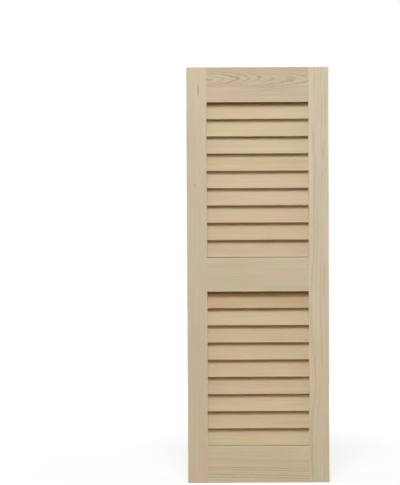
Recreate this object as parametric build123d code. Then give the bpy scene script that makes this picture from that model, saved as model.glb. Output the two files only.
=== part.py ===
from build123d import *

import os
from math import cos, radians, sin, tan

# Wooden window shutter with fixed louvres, made as separate boards.
# X runs across the shutter, Y from the front face to the back face, and Z up.
# The origin is the middle of the back face, which lies against the wall.
# Lengths are in millimetres and angles in degrees.

# Frame boards
shutter_width = 381.0
frame_depth = 28.6
stile_width = 54.0
top_rail_height = 93.6
middle_rail_height = 90.8
bottom_rail_height = 98.0

# Louvres: slats with rounded edges, their upper edge towards the back
louvres_per_panel = 9
louvre_pitch = 46.4
louvre_overlap = 2.4
louvre_thickness = 6.4
louvre_edge_radius = 1.5
louvre_angle_from_upright = 15.0
louvre_tongue = 9.0

# Room around each louvre
pocket_clearance = 0.2
pocket_end_gap = 0.3
sill_gap = 0.3
groove_clearance = 0.5

# Fluted dowels that hold the rails between the stiles
dowel_diameter = 10.0
dowel_length = 60.0
dowel_chamfer = 1.0
dowel_inset = 22.0
dowel_clearance = 0.05
dowel_end_gap = 0.8
flute_count = 8
flute_width = 0.8
flute_depth = 0.4

# Rounded arrises, and how far a cutter runs past the wood that it cuts
outer_edge_radius = 1.5
opening_edge_radius = 0.8
cut_overrun = 1.0

# Places that follow from the sizes above
opening_width = shutter_width - 2 * stile_width
panel_height = louvres_per_panel * louvre_pitch
shutter_height = bottom_rail_height + panel_height + middle_rail_height + panel_height + top_rail_height
base_z = -shutter_height / 2
lower_panel_z = base_z + bottom_rail_height
middle_rail_z = lower_panel_z + panel_height
upper_panel_z = middle_rail_z + middle_rail_height
top_rail_z = upper_panel_z + panel_height
front_y = -frame_depth
middle_y = -frame_depth / 2
stile_inner_x = opening_width / 2

# Louvre section: its height, its width along the slope, and its sizes between the rounded edges
louvre_rise = louvre_pitch + louvre_overlap
louvre_slope = radians(louvre_angle_from_upright)
flat_rise = louvre_rise - 2 * louvre_edge_radius
flat_thickness = louvre_thickness - 2 * louvre_edge_radius
flat_width = (flat_rise - flat_thickness * sin(louvre_slope)) / cos(louvre_slope)
louvre_width = flat_width + 2 * louvre_edge_radius

# Groove under a rail: from the louvre's face at the rail's lower edge to the louvre's upper back edge
groove_depth = louvre_overlap + sill_gap + groove_clearance
edge_level = louvre_rise / 2 - louvre_overlap - sill_gap
louvre_face_y = middle_y + edge_level * tan(louvre_slope) - louvre_thickness / 2 / cos(louvre_slope)
louvre_back_y = middle_y + louvre_width / 2 * sin(louvre_slope) + louvre_thickness / 2 * cos(louvre_slope)
groove_front_y = louvre_face_y - groove_clearance
groove_back_y = louvre_back_y + groove_clearance

# Dowel holes
dowel_hole_radius = dowel_diameter / 2 + dowel_clearance
dowel_hole_depth = dowel_length / 2 + dowel_end_gap


def louvre_heights(panel_z):
    """Heights of the louvres' middles in a panel, from its lowest louvre up."""
    lowest = panel_z + sill_gap + louvre_rise / 2
    return [lowest + row * louvre_pitch for row in range(louvres_per_panel)]


def dowel_heights():
    """Heights of the dowels' axes: two in each rail, one near each of its long edges."""
    heights = []
    rails = (
        (base_z, bottom_rail_height),
        (middle_rail_z, middle_rail_height),
        (top_rail_z, top_rail_height),
    )
    for rail_z, rail_height in rails:
        heights += [rail_z + dowel_inset, rail_z + rail_height - dowel_inset]
    return heights


def louvre_bar(length, room=0):
    """A bar of the louvre's slanted section along X, grown by the room all round."""
    section = RectangleRounded(
        louvre_width + 2 * room,
        louvre_thickness + 2 * room,
        louvre_edge_radius + room,
        rotation=90 - louvre_angle_from_upright,
    )
    return extrude(Plane.YZ * section, amount=length / 2, both=True)


def louvre(height):
    """One slat, long enough to reach into the pockets of both stiles."""
    return Pos(0, middle_y, height) * louvre_bar(opening_width + 2 * louvre_tongue)


def corner_rounder(radius, length):
    """A cutter along Z that rounds the corner at its origin, for wood that lies towards +X and +Y."""
    side = radius + cut_overrun
    block = Pos(-cut_overrun, -cut_overrun, 0) * Box(
        side, side, length, align=(Align.MIN, Align.MIN, Align.MIN)
    )
    return block - Pos(radius, radius, 0) * Cylinder(
        radius, length, align=(Align.CENTER, Align.CENTER, Align.MIN)
    )


def right_stile():
    """The upright on the right: pockets for the louvres, holes for the dowels, rounded arrises."""
    board = Pos(stile_inner_x, front_y, base_z) * Box(
        stile_width, frame_depth, shutter_height, align=(Align.MIN, Align.MIN, Align.MIN)
    )
    inner_face = board.faces().sort_by(Axis.X)[0]
    board = fillet(board.edges() - inner_face.edges(), outer_edge_radius)

    # The inner arrises are rounded only along the two openings.
    rounder = corner_rounder(opening_edge_radius, panel_height)
    for panel_z in (lower_panel_z, upper_panel_z):
        board -= Pos(stile_inner_x, front_y, panel_z) * rounder
        board -= Pos(stile_inner_x, 0, panel_z) * mirror(rounder, about=Plane.XZ)

    pocket = louvre_bar(2 * (louvre_tongue + pocket_end_gap), pocket_clearance)
    for height in louvre_heights(lower_panel_z) + louvre_heights(upper_panel_z):
        board -= Pos(stile_inner_x, middle_y, height) * pocket

    hole = Rot(0, 90, 0) * Cylinder(dowel_hole_radius, 2 * dowel_hole_depth)
    for height in dowel_heights():
        board -= Pos(stile_inner_x, middle_y, height) * hole
    return board


def rail(rail_z, height, upper_radius, lower_radius, has_groove):
    """A rail between the stiles. Above louvres it has a groove that takes the topmost slat's edge."""
    board = Pos(0, front_y, rail_z) * Box(
        opening_width, frame_depth, height, align=(Align.CENTER, Align.MIN, Align.MIN)
    )
    long_edges = board.edges().filter_by(Axis.X).group_by(Axis.Z)
    board = fillet(long_edges[-1], upper_radius)
    lower_edges = board.edges().filter_by(Axis.X).group_by(Axis.Z)[0]
    board = fillet(lower_edges, lower_radius)

    if has_groove:
        board -= Pos(0, groove_front_y, rail_z - cut_overrun) * Box(
            opening_width + 2 * cut_overrun,
            groove_back_y - groove_front_y,
            groove_depth + cut_overrun,
            align=(Align.CENTER, Align.MIN, Align.MIN),
        )

    hole = Rot(0, 90, 0) * Cylinder(dowel_hole_radius, 2 * dowel_hole_depth)
    for end_x in (-stile_inner_x, stile_inner_x):
        for hole_z in (rail_z + dowel_inset, rail_z + height - dowel_inset):
            board -= Pos(end_x, middle_y, hole_z) * hole
    return board


def dowel():
    """One fluted dowel along X with chamfered ends."""
    radius = dowel_diameter / 2
    pin = Cylinder(radius, dowel_length)
    pin = chamfer(pin.edges().filter_by(GeomType.CIRCLE), dowel_chamfer)
    flute = Box(2 * flute_depth, flute_width, dowel_length + 2 * cut_overrun)
    pin -= [place * flute for place in PolarLocations(radius, flute_count)]
    return Rot(0, 90, 0) * pin


def rail_dowels():
    """All the dowels, each half in a stile and half in a rail."""
    pin = dowel()
    return Compound(
        [
            (Pos(end_x, middle_y, height) * pin).solid()
            for end_x in (-stile_inner_x, stile_inner_x)
            for height in dowel_heights()
        ]
    )


def shutter():
    """Every board of the shutter by name."""
    outer, opening = outer_edge_radius, opening_edge_radius
    boards = {
        "right_stile": right_stile(),
        "bottom_rail": rail(base_z, bottom_rail_height, opening, outer, has_groove=False),
        "middle_rail": rail(middle_rail_z, middle_rail_height, opening, opening, has_groove=True),
        "top_rail": rail(top_rail_z, top_rail_height, outer, opening, has_groove=True),
        "rail_dowels": rail_dowels(),
    }
    boards["left_stile"] = mirror(boards["right_stile"], about=Plane.YZ)
    for panel, panel_z in (("lower", lower_panel_z), ("upper", upper_panel_z)):
        for number, height in enumerate(louvre_heights(panel_z), start=1):
            boards[f"{panel}_louvre_{number}"] = louvre(height)
    return boards


os.makedirs("parts", exist_ok=True)
for name, board in shutter().items():
    board.label = name
    export_step(board, f"parts/{name}.step")
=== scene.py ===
"""A pine window shutter with fixed louvres, bare wood, in plain soft studio light."""

import random
from math import atan, cos, pi, radians, sin, tan

import bmesh
import bpy
from mathutils import Matrix, Vector


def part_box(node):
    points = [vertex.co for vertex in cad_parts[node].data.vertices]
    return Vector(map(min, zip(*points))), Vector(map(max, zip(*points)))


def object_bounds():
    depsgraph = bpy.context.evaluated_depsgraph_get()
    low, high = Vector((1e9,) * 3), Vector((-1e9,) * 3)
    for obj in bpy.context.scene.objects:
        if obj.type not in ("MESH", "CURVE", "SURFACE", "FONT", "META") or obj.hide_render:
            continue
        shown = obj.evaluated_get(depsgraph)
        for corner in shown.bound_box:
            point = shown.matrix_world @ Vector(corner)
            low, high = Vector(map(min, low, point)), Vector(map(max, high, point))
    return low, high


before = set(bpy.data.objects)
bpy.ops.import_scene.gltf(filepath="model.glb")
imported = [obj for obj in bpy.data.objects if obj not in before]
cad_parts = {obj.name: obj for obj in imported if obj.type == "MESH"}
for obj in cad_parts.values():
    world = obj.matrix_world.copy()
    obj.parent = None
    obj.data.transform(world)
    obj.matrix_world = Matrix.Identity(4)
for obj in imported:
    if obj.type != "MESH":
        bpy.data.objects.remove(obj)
cad_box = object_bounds()
cad_low, cad_high = cad_box
middle = (cad_low + cad_high) / 2
rail_low, rail_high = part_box("top_rail")
half_rail = (rail_high.x - rail_low.x) / 2
half_depth = (rail_high.y - rail_low.y) / 2


def srgb(red, green, blue):
    """A colour as a picture shows it, from 0 to 255, as linear light with alpha."""
    shares = [value / 255 for value in (red, green, blue)]
    linear = [s / 12.92 if s <= 0.04045 else ((s + 0.055) / 1.055) ** 2.4 for s in shares]
    return (*linear, 1.0)


def mark(place, half_size, depth, color):
    """A knot, a streak or a band of painted shade in a board: its middle, its half sizes, how far its colour
    goes, and its colour.
    """
    return {"place": place, "half_size": half_size, "depth": depth, "color": color}


# The picture, in its own pixels: its size, and where the shutter stands in it
picture_width, picture_height = 400, 485
shutter_top_row, shutter_bottom_row = 67.4, 482.85
shutter_column = 257.7

# Camera: metres, degrees, and millimetres of sensor
camera_distance = 5.0
camera_pitch = 1.64
camera_roll = 0.28
sensor_height = 36.0
focal_rounds = 4

# Lamps: azimuth, elevation and distance as seen from the shutter, half the width and half the height that
# each shows from there, and its power in watts
lamps = {
    "key": (-4, 47, 5.2, 12, 8, 187),
    "low": (-4, 25.5, 7, 9, 4, 98),
    "left": (-65, 24, 6.5, 18, 5, 101),
    "right": (65, 24, 6.5, 18, 5, 101),
    "left edge": (-88, 15, 6.5, 10, 10, 170),
    "right edge": (88, 15, 6.5, 10, 10, 170),
    "back": (190, 8, 6.5, 20, 6, 310),
}

# Light from all round, brighter above than below. It changes between directions whose upward part is minus
# the span and plus the span.
fill_color = (1.0, 0.92, 0.8, 1)
fill_below, fill_above = 0.01, 0.05
fill_span = 0.6
backdrop_color = (1, 1, 1, 1)

# Floor: it looks white, and what it throws back on the shutter is warm
floor_radius = 2.5
floor_segments = 96
floor_color = (0.36, 0.36, 0.36, 1)
floor_bounce = (0.36, 0.22, 0.055, 1)
floor_glow, floor_rim_glow = 0.58, 1.0
floor_fade_start = 0.5

# Colours of the boards and of their marks
tints = {
    "left_stile": (188, 177, 157),
    "right_stile": (192, 183, 163),
    "top_rail": (184, 171, 149),
    "middle_rail": (187, 176, 154),
    "bottom_rail": (190, 181, 157),
    "louvres": (182, 166, 139),
    "brown_louvre_with_painted_shade": (175, 154, 122),
    "dowels": (190, 160, 124),
}
brown = srgb(122, 88, 58)
# The colour after brown is painted shade: it darkens a band just below the middle rail, lengthening the
# rail's shadow.
painted_shadow_umber = srgb(142, 104, 66)
mauve = srgb(134, 110, 102)

# What a tint is multiplied by in early and in late wood, and at the two ends of a slow change of hue
early_wood = (1.03, 1.03, 1.04, 1)
late_wood = (0.74, 0.71, 0.63, 1)
pinkish = (1.025, 0.98, 0.99, 1)
straw = (0.985, 1.015, 0.96, 1)
hue_range = (0.35, 0.65)

# Noise in the wood: features a metre along the grain, across it and through the board, octaves, roughness
broad_noise = ((4, 15, 15), 1.0)
close_noise = ((60, 160, 160), 2.0)
patch_noise = ((8, 50, 50), 1.0)
fibre_noise = ((9, 380, 380), 3.0, 0.6)
hair_noise = ((40, 2400, 2400), 2.0)
saw_noise = ((0, 14, 1100), 2.0)
cloud_noise = ((6, 26, 26), 2.0)
band_noise = ((3.4, 140, 140), 2.0)
canal_noise = ((130, 2200, 2200), 0.0)
hue_noise = ((11, 40, 40), 1.0)
noise_middle = 0.5

# Growth rings: changes of their width a metre outwards, the stretch of each ring in which late wood darkens,
# where its sharp end begins, the palest ring, how many times their reach they end at, the patches in which
# they fade, the palest patch, and how much more the rings show in end grain
uneven_rings = 120.0
late_range = (0.5, 0.9)
ring_end_start = 0.93
palest_ring = 0.3
reach_end = 1.4
patch_range = (0.3, 0.62)
palest_patch = 0.2
end_figure = 0.4

# How much lighter or darker each feature makes the wood, how much rougher, and how much higher
tones = {"fibre": 0.16, "hair": 0.08, "cloud": 0.16, "band": 0.17, "canal": -0.1, "saw": 0.25}
end_tone, seam_tone = -0.2, -0.25
plain_roughness = 0.62
roughening = {"fibre": 0.25, "late": -0.08, "end": 0.12}
heights = {"hair": 0.6, "fibre": 0.9, "late": 0.35, "saw": 1.4}
bump_depth = 0.00018
specular_level = 0.28
canal_range = (0.68, 0.76)
end_range = (0.7, 0.95)
seam_width = 0.0006

# Marks: how far noise bends their outlines, and where their colour starts and is full, in half sizes
mark_wobble = 0.002
mark_range = (1.3, 0.4)
no_mark = mark((9.0, 9.0, 9.0), (0.001, 0.001, 0.001), 0.0, brown)
# The next mark is painted shade: a band along the top of the lower panel's first louvre, just below the
# middle rail, through its whole length and depth.
painted_rail_shadow_band = mark((0.0, 0.008, 0.0), (0.3, 0.0045, 1.0), 0.6, painted_shadow_umber)

# What a board has if nothing else is said of it. The far seam lies beyond every board's ends, and a board's
# shift moves its noise along the shift's way.
usual_wander, usual_jag, usual_reach = 0.006, 0.002, 1.0
far_seam = 10.0
shift_way = (1.37, 0.83, 0.59)

# Boards of the frame. The pith and its lean are across the board and towards its face, and a mark lies along
# the board, across it and towards its face.
frame_boards = {
    "left_stile": {
        "pith": (0.11, -0.05), "lean": (0.01, 0.004), "ring_width": 0.006, "figure": 0.25, "shift": 1.0,
        "knot": mark((0.2434, 0.006, half_depth), (0.0045, 0.0018, 0.02), 0.5, brown),
        "streak": mark((0.496, -0.0045, half_depth), (0.019, 0.0017, 0.01), 0.75, mauve),
    },
    "right_stile": {
        "pith": (0.055, -0.09), "lean": (0.01, 0.006), "ring_width": 0.005, "figure": 0.9, "shift": 2.0,
        "wander": 0.014, "jag": 0.003,
        "knot": mark((0.358, 0.0135, half_depth), (0.024, 0.002, 0.01), 0.3, mauve),
        "streak": mark((0.331, -0.012, half_depth), (0.024, 0.002, 0.01), 0.35, mauve),
    },
    "top_rail": {
        "pith": (0.0145, -0.009), "lean": (0.0, -0.09), "ring_width": 0.0034, "figure": 1.7, "shift": 41.0,
        "wander": 0.016, "jag": 0.003, "reach": 0.041,
        "knot": mark((-0.132, 0.0145, half_depth), (0.004, 0.003, 0.02), 0.4, brown),
    },
    "middle_rail": {
        "pith": (0.16, -0.09), "lean": (0.015, 0.01), "ring_width": 0.006, "figure": 0.15, "shift": 4.0,
    },
    "bottom_rail": {
        "pith": (-0.1, -0.06), "lean": (-0.03, 0.01), "ring_width": 0.0046, "figure": 1.5, "shift": 18.0,
        "jag": 0.0025, "reach": 0.11,
    },
}
dowel_board = {"pith": (0.4, 0.3), "lean": (0, 0), "ring_width": 0.002, "figure": 0.3, "shift": 70.0}

# Slats: each is from another board, drawn from these ranges
louvre_count = 9
louvre_slope = radians(15)
# This louvre is browner wood, and it also carries the band of painted shade below the middle rail.
brown_louvre_with_painted_shade = "lower_louvre_9"
louvre_seed = 7
tone_span, green_span, blue_span = 3, 1.5, 3
pith_side_range, pith_depth_range = (0.05, 0.12), (-0.09, -0.03)
lean_side_span, lean_depth_span = 0.03, 0.02
ring_width_range, figure_range, shift_range = (0.004, 0.007), (0.2, 0.5), (6, 60)

# Which way the grain runs, and which way is across it
upright_grain = ((0, 0, 1), (-1, 0, 0))
level_grain = ((1, 0, 0), (0, 0, 1))
louvre_grain = ((1, 0, 0), (0, sin(louvre_slope), cos(louvre_slope)))

pine_inputs = {
    "Board": "Vector", "Shift": "Vector", "Tint": "Color", "End": "Float", "Seam": "Float",
    "Pith": "Vector", "Lean": "Vector", "Ring Width": "Float", "Figure": "Float",
    "Wander": "Float", "Jag": "Float", "Reach": "Float",
    "Knot": "Vector", "Knot Size": "Vector", "Knot Depth": "Float", "Knot Color": "Color",
    "Streak": "Vector", "Streak Size": "Vector", "Streak Depth": "Float", "Streak Color": "Color",
}
pine_outputs = {"Color": "Color", "Roughness": "Float", "Height": "Float"}


class Nodes:
    """Short calls that add nodes to a tree. An input is a value, or another node's output."""

    def __init__(self, tree):
        self.tree = tree

    def add(self, kind, inputs=None, **settings):
        node = self.tree.nodes.new(kind)
        for name, value in settings.items():
            setattr(node, name, value)
        for key, value in (inputs or {}).items():
            self.feed(self.socket(node.inputs, key), value)
        return node

    def socket(self, sockets, key):
        """A socket by its number, its name or its identifier."""
        if isinstance(key, int) or key in sockets:
            return sockets[key]
        return next(s for s in sockets if s.identifier == key)

    def feed(self, socket, value):
        if isinstance(value, bpy.types.NodeSocket):
            self.tree.links.new(value, socket)
        else:
            socket.default_value = value

    def math(self, operation, *values):
        return self.add("ShaderNodeMath", dict(enumerate(values)), operation=operation).outputs[0]

    def vector(self, operation, *values):
        node = self.add("ShaderNodeVectorMath", dict(enumerate(values)), operation=operation)
        return node.outputs["Value" if operation in ("LENGTH", "DOT_PRODUCT") else "Vector"]

    def scaled(self, vector, scale):
        node = self.add("ShaderNodeVectorMath", {0: vector, "Scale": scale}, operation="SCALE")
        return node.outputs["Vector"]

    def split(self, vector):
        return self.add("ShaderNodeSeparateXYZ", {0: vector}).outputs

    def step(self, value, low, high):
        """A smooth rise from 0 to 1 as the value goes from low to high."""
        inputs = {"Value": value, "From Min": low, "From Max": high}
        return self.add("ShaderNodeMapRange", inputs, interpolation_type="SMOOTHSTEP").outputs[0]

    def noise(self, place, scale, detail, roughness=0.5):
        """Noise with so many features a metre along, across and through a board: a value and a colour."""
        inputs = {
            "Vector": self.vector("MULTIPLY", place, scale),
            "Scale": 1.0,
            "Detail": detail,
            "Roughness": roughness,
        }
        node = self.add("ShaderNodeTexNoise", inputs)
        return node.outputs[0], node.outputs[1]

    def ripple(self, place, kind):
        """Noise about zero."""
        return self.math("SUBTRACT", self.noise(place, *kind)[0], noise_middle)

    def drift(self, place, kind):
        """Noise about zero in each of three directions."""
        return self.vector("SUBTRACT", self.noise(place, *kind)[1], (noise_middle,) * 3)

    def pile(self, start, shares, masks):
        """The start plus each mask times its share."""
        total = start
        for name, share in shares.items():
            total = self.math("MULTIPLY_ADD", masks[name], share, total)
        return total

    def mix(self, share, one, other, blend="MIX"):
        inputs = {"Factor_Float": share, "A_Color": one, "B_Color": other}
        node = self.add("ShaderNodeMix", inputs, data_type="RGBA", blend_type=blend)
        return self.socket(node.outputs, "Result_Color")


def new_material(name):
    """An empty node material, and the calls that fill it."""
    material = bpy.data.materials.new(name)
    material.use_nodes = True
    material.node_tree.nodes.clear()
    return material, Nodes(material.node_tree)


def pine_group():
    """Solid pine as a node group: growth rings about a pith line, fibres, resin, a knot and a streak; on one
    louvre the streak is painted shade.
    """
    tree = bpy.data.node_groups.new("pine", "ShaderNodeTree")
    for name, kind in pine_inputs.items():
        tree.interface.new_socket(name, in_out="INPUT", socket_type="NodeSocket" + kind)
    for name, kind in pine_outputs.items():
        tree.interface.new_socket(name, in_out="OUTPUT", socket_type="NodeSocket" + kind)
    n = Nodes(tree)
    given = n.add("NodeGroupInput").outputs
    place = n.vector("ADD", given["Board"], given["Shift"])
    close = n.drift(place, close_noise)
    knot = from_mark(n, given, "Knot", close)
    streak = from_mark(n, given, "Streak", close)
    late = growth_rings(n, given, place, close, knot)
    masks = {
        "late": late,
        "end": given["End"],
        "fibre": n.ripple(place, fibre_noise),
        "hair": n.ripple(place, hair_noise),
        "cloud": n.ripple(place, cloud_noise),
        "band": n.ripple(place, band_noise),
        "canal": n.step(n.noise(place, *canal_noise)[0], *canal_range),
        "saw": n.math("MULTIPLY", n.ripple(place, saw_noise), given["End"]),
    }
    figure = n.math("MULTIPLY_ADD", given["End"], end_figure, given["Figure"])
    colour = wood_colour(n, given, place, n.math("MULTIPLY", late, figure))
    # The streak is a mark in the wood, except on the lower panel's top louvre, where it is painted shade
    # below the middle rail.
    for name, away in (("Streak", streak), ("Knot", knot)):
        share = n.math("MULTIPLY", n.step(away, *mark_range), given[name + " Depth"])
        colour = n.mix(share, colour, given[name + " Color"])
    value = brightness(n, given, masks)
    shade = n.add("ShaderNodeCombineXYZ", {0: value, 1: value, 2: value}).outputs[0]
    outputs = {
        "Color": n.mix(1.0, colour, shade, "MULTIPLY"),
        "Roughness": n.pile(plain_roughness, roughening, masks),
        "Height": n.pile(0.0, heights, masks),
    }
    n.add("NodeGroupOutput", outputs)
    return tree


def from_mark(n, given, name, wobble):
    """How far a point lies from a mark's middle, in the mark's own half sizes."""
    away = n.vector("SUBTRACT", given["Board"], given[name])
    away = n.vector("ADD", away, n.scaled(wobble, mark_wobble))
    return n.vector("LENGTH", n.vector("DIVIDE", away, given[name + " Size"]))


def growth_rings(n, given, place, close, knot):
    """How far a point is into the dark late wood of its growth ring, from 0 to 1."""
    # The pith line leans through the board, and the rings wander about it.
    along = n.split(given["Board"])[0]
    pith = n.vector("ADD", given["Pith"], n.scaled(given["Lean"], along))
    broad = n.drift(place, broad_noise)
    wobble = n.vector("ADD", n.scaled(broad, given["Wander"]), n.scaled(close, given["Jag"]))
    from_pith = n.vector("ADD", n.vector("SUBTRACT", given["Board"], pith), wobble)
    from_pith = n.vector("MULTIPLY", from_pith, (0, 1, 1))

    # The grain swells round the knot.
    swell = n.math("DIVIDE", 1.0, n.math("MULTIPLY_ADD", knot, knot, 1.0))
    knot_width = n.split(given["Knot Size"])[1]
    radius = n.math("MULTIPLY_ADD", swell, knot_width, n.vector("LENGTH", from_pith))

    # Each ring goes slowly from pale early wood to darker late wood, and ends sharply.
    uneven = {"W": n.math("MULTIPLY", radius, uneven_rings)}
    uneven = n.add("ShaderNodeTexNoise", uneven, noise_dimensions="1D").outputs[0]
    ring = n.math("ADD", n.math("DIVIDE", radius, given["Ring Width"]), uneven)
    phase = n.math("FRACT", ring)
    late = n.math("MULTIPLY", n.step(phase, *late_range), n.step(phase, 1.0, ring_end_start))

    # Some rings are paler than others, they fade in patches, and they end away from the pith.
    strength = {"W": n.math("FLOOR", ring)}
    strength = n.add("ShaderNodeTexWhiteNoise", strength, noise_dimensions="1D").outputs[0]
    strength = n.math("MULTIPLY_ADD", strength, 1.0 - palest_ring, palest_ring)
    patch = n.step(n.noise(place, *patch_noise)[0], *patch_range)
    patch = n.math("MULTIPLY_ADD", patch, 1.0 - palest_patch, palest_patch)
    fade = n.step(radius, n.math("MULTIPLY", given["Reach"], reach_end), given["Reach"])
    for share in (strength, patch, fade):
        late = n.math("MULTIPLY", late, share)
    return late


def brightness(n, given, masks):
    """Light and dark along the grain, about 1: fibres, streaks, clouds, resin canals, end grain and seams."""
    along = n.split(given["Board"])[0]
    past_seam = n.math("SUBTRACT", n.math("ABSOLUTE", along), given["Seam"])
    seam = n.step(past_seam, -seam_width, 0.0)
    value = n.pile(1.0, tones, masks)
    value = n.math("MULTIPLY", value, n.math("MULTIPLY_ADD", given["End"], end_tone, 1.0))
    return n.math("MULTIPLY", value, n.math("MULTIPLY_ADD", seam, seam_tone, 1.0))


def wood_colour(n, given, place, late):
    """The board's tint: late wood is browner, and slow clouds go from pinkish to straw."""
    early_tint = n.mix(1.0, given["Tint"], early_wood, "MULTIPLY")
    late_tint = n.mix(1.0, given["Tint"], late_wood, "MULTIPLY")
    colour = n.mix(late, early_tint, late_tint)
    hue = n.step(n.split(n.noise(place, *hue_noise)[1])[1], *hue_range)
    return n.mix(1.0, colour, n.mix(hue, pinkish, straw), "MULTIPLY")


def board_axes(along, across):
    """The turn from the shutter's axes to a board's: along its grain, across it, and towards its face."""
    along, across = Vector(along), Vector(across)
    return Matrix((along, across, along.cross(across))).transposed()


def pine(node, grain, tint, pith, lean, ring_width, figure, shift, seam=far_seam, wander=usual_wander,
         jag=usual_jag, reach=usual_reach, knot=no_mark, streak=no_mark):
    """A pine material for one board. Its figure follows from where the tree's pith lies beside the board."""
    material, n = new_material(node)
    axes = board_axes(*grain)
    normal = n.add("ShaderNodeNewGeometry").outputs["Normal"]
    end = n.math("ABSOLUTE", n.vector("DOT_PRODUCT", normal, axes.col[0]))
    inputs = {
        "Board": board_place(n, node, axes),
        "Shift": tuple(shift * part for part in shift_way),
        "Pith": (0, *pith),
        "Lean": (0, *lean),
        "Ring Width": ring_width,
        "Figure": figure,
        "Wander": wander,
        "Jag": jag,
        "Reach": reach,
        "Tint": tint,
        "End": n.step(end, *end_range),
        "Seam": seam,
    }
    for name, spot in (("Knot", knot), ("Streak", streak)):
        inputs[name] = spot["place"]
        inputs[name + " Size"] = spot["half_size"]
        inputs[name + " Depth"] = spot["depth"]
        inputs[name + " Color"] = spot["color"]
    wood = n.add("ShaderNodeGroup", node_tree=pine_tree)
    for name, value in inputs.items():
        n.feed(wood.inputs[name], value)
    bump = n.add("ShaderNodeBump", {"Height": wood.outputs["Height"], "Distance": bump_depth})
    finish = {
        "Base Color": wood.outputs["Color"],
        "Roughness": wood.outputs["Roughness"],
        "Normal": bump.outputs[0],
        "Specular IOR Level": specular_level,
    }
    surface = n.add("ShaderNodeBsdfPrincipled", finish)
    n.add("ShaderNodeOutputMaterial", {"Surface": surface.outputs[0]})
    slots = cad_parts[node].data.materials
    slots.clear()
    slots.append(material)


def board_place(n, node, axes):
    """A point's place from a board's middle: along its grain, across it and towards its face."""
    low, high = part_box(node)
    inputs = {
        "Vector": n.add("ShaderNodeTexCoord").outputs["Object"],
        "Location": (low + high) / 2,
        "Rotation": axes.to_euler(),
    }
    return n.add("ShaderNodeMapping", inputs, vector_type="TEXTURE").outputs[0]


def dress_frame():
    """Stiles with upright grain; rails with level grain and a seam at each end."""
    for board, figure in frame_boards.items():
        is_rail = board.endswith("rail")
        grain = level_grain if is_rail else upright_grain
        seam = half_rail if is_rail else far_seam
        pine(board, grain, srgb(*tints[board]), seam=seam, **figure)


def dress_louvres():
    """Slats with grain along them, each from another board. The lower panel's top slat also carries a band of
    painted shade below the middle rail.
    """
    draw = random.Random(louvre_seed)
    for panel in ("upper", "lower"):
        for number in range(1, louvre_count + 1):
            board = f"{panel}_louvre_{number}"
            is_brown_with_painted_shade = board == brown_louvre_with_painted_shade
            red, green, blue = tints["brown_louvre_with_painted_shade" if is_brown_with_painted_shade else "louvres"]
            tone = draw.uniform(-tone_span, tone_span)
            green += draw.uniform(-green_span, green_span)
            blue += draw.uniform(-blue_span, blue_span)
            pith_side = draw.choice((-1, 1)) * draw.uniform(*pith_side_range)
            pith_depth = draw.uniform(*pith_depth_range)
            lean_side = draw.uniform(-lean_side_span, lean_side_span)
            lean_depth = draw.uniform(-lean_depth_span, lean_depth_span)
            pine(
                board,
                louvre_grain,
                srgb(red + tone, green + tone, blue + tone),
                pith=(pith_side, pith_depth),
                lean=(lean_side, lean_depth),
                ring_width=draw.uniform(*ring_width_range),
                figure=draw.uniform(*figure_range),
                shift=draw.uniform(*shift_range),
                # Painted shade below the middle rail, on this one louvre only
                streak=painted_rail_shadow_band if is_brown_with_painted_shade else no_mark,
            )


def dress_dowels():
    """Hidden dowels of plain, close-grained wood."""
    pine("rail_dowels", level_grain, srgb(*tints["dowels"]), **dowel_board)


def stage_floor():
    """A pale floor under the shutter, white to the camera, that keeps the shutter's shadow."""
    mesh = bpy.data.meshes.new("floor")
    disc = bmesh.new()
    bmesh.ops.create_circle(disc, cap_ends=True, segments=floor_segments, radius=floor_radius)
    disc.to_mesh(mesh)
    disc.free()
    floor = bpy.data.objects.new("floor", mesh)
    floor.location = (middle.x, middle.y, cad_low.z)
    bpy.context.scene.collection.objects.link(floor)

    # The glow rises towards the rim, so that the floor ends in white with no line.
    material, n = new_material("floor")
    seen = seen_directly(n)
    paint = n.add("ShaderNodeBsdfDiffuse", {"Color": n.mix(seen, floor_bounce, floor_color)})
    from_middle = n.vector("LENGTH", n.add("ShaderNodeTexCoord").outputs["Object"])
    outwards = n.step(from_middle, floor_fade_start, floor_radius)
    strength = n.math("MULTIPLY_ADD", outwards, floor_rim_glow - floor_glow, floor_glow)
    glow = n.add("ShaderNodeEmission", {"Strength": n.math("MULTIPLY", seen, strength)})
    both = n.add("ShaderNodeAddShader", {0: paint.outputs[0], 1: glow.outputs[0]})
    n.add("ShaderNodeOutputMaterial", {"Surface": both.outputs[0]})
    mesh.materials.append(material)


def seen_directly(n):
    """1 for rays from the camera and for what mirrors and glass show, 0 for light that falls on things."""
    path = n.add("ShaderNodeLightPath").outputs
    mirrored = n.math("MAXIMUM", path["Is Glossy Ray"], path["Is Transmission Ray"])
    return n.math("MAXIMUM", path["Is Camera Ray"], mirrored)


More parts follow.
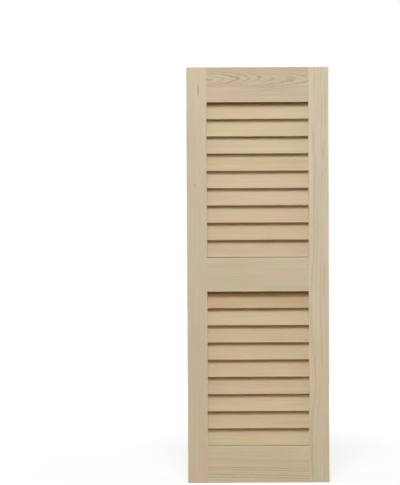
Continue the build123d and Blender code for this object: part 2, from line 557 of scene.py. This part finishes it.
def light_world():
    """A soft surround, brighter above than below, with a white background."""
    world = bpy.data.worlds.new("studio")
    world.use_nodes = True
    world.node_tree.nodes.clear()
    n = Nodes(world.node_tree)
    direction = n.split(n.add("ShaderNodeTexCoord").outputs["Generated"])
    rise = n.step(direction[2], -fill_span, fill_span)
    strength = n.math("MULTIPLY_ADD", rise, fill_above - fill_below, fill_below)
    fill = n.add("ShaderNodeBackground", {"Color": fill_color, "Strength": strength})
    backdrop = n.add("ShaderNodeBackground", {"Color": backdrop_color, "Strength": 1.0})
    shown = n.add("ShaderNodeMixShader", {0: seen_directly(n), 1: fill.outputs[0], 2: backdrop.outputs[0]})
    n.add("ShaderNodeOutputWorld", {"Surface": shown.outputs[0]})
    bpy.context.scene.world = world


def hang_lamp(name, azimuth, elevation, distance, half_width, half_height, power):
    """A soft lamp that faces the shutter's middle. Azimuth 0 is in front of it."""
    turn, rise = radians(azimuth), radians(elevation)
    away = Vector((sin(turn) * cos(rise), -cos(turn) * cos(rise), sin(rise)))
    lamp = bpy.data.lights.new(name, "AREA")
    lamp.shape = "RECTANGLE"
    lamp.size = 2 * distance * tan(radians(half_width))
    lamp.size_y = 2 * distance * tan(radians(half_height))
    lamp.energy = power
    holder = bpy.data.objects.new(name, lamp)
    holder.location = middle + distance * away
    holder.rotation_euler = away.to_track_quat("Z", "Y").to_euler()
    holder.visible_camera = False
    bpy.context.scene.collection.objects.link(holder)


def aim_camera():
    """The photograph's view: square to the front in plan, above the shutter's middle, with a slight roll."""
    pitch = radians(camera_pitch)
    height = cad_high.z - cad_low.z
    rows_up = picture_height / 2 - shutter_top_row
    rows_down = shutter_bottom_row - picture_height / 2

    # The focal length, in rows, at which the shutter fills its rows of the picture
    focal_rows = camera_distance * (rows_up + rows_down) / height
    for _ in range(focal_rounds):
        spread = tan(atan(rows_up / focal_rows) - pitch) + tan(atan(rows_down / focal_rows) + pitch)
        focal_rows *= camera_distance * spread / height
    drop = camera_distance * tan(atan(rows_up / focal_rows) - pitch)
    right = camera_distance * (shutter_column - picture_width / 2) / focal_rows

    camera = bpy.data.cameras.new("camera")
    camera.sensor_fit = "VERTICAL"
    camera.sensor_height = sensor_height
    camera.lens = sensor_height * focal_rows / picture_height
    holder = bpy.data.objects.new("camera", camera)
    holder.location = (middle.x - right, cad_low.y - camera_distance, cad_high.z - drop)
    holder.rotation_euler = (pi / 2 - pitch, radians(camera_roll), 0)
    bpy.context.scene.collection.objects.link(holder)
    bpy.context.scene.camera = holder


bpy.context.scene.view_settings.view_transform = "Standard"
pine_tree = pine_group()
dress_frame()
dress_louvres()
dress_dowels()
stage_floor()
light_world()
for name, lamp in lamps.items():
    hang_lamp(name, *lamp)
aim_camera()
